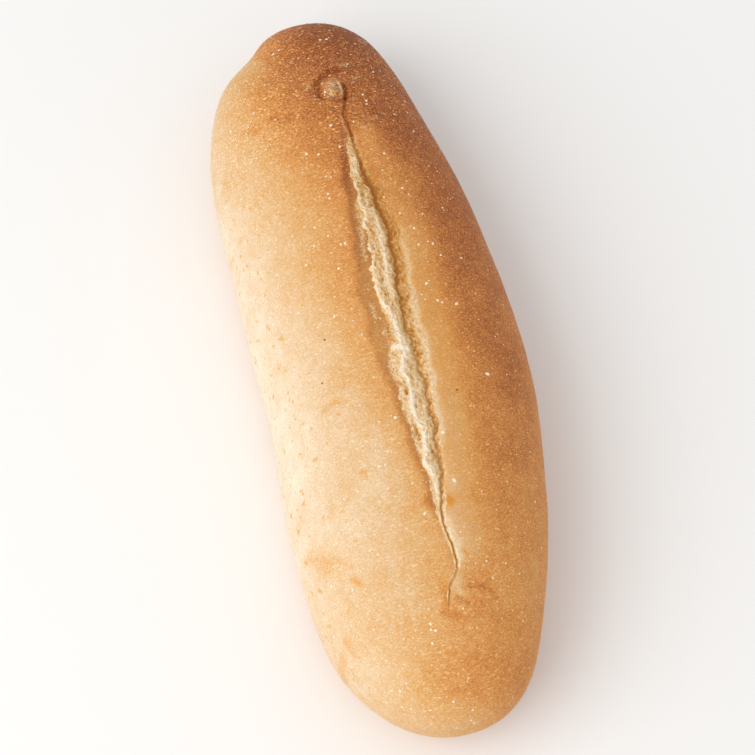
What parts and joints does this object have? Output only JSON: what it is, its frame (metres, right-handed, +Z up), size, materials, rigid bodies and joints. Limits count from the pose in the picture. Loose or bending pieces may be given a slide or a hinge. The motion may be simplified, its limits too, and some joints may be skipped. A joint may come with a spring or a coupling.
{
  "type": "hoagie roll",
  "caption": "Long soft sandwich roll of baked bread, slightly bowed, with a flat sole, rounded ends and a torn slash along its crown.",
  "frame": {"origin": "centre of the roll's bounding box, on the plane of its flat sole", "axes": "+X along the roll towards its paler end, +Y towards the outer side of its bow, +Z up from the sole to the crown"},
  "size_m": [0.205, 0.0736, 0.0501],
  "materials": {
    "crust": "golden baked crust, satin on the crown, with pale torn crumb in the slash"
  },
  "bodies": {
    "root": {"roll": "crust"}
  },
  "joints": []
}
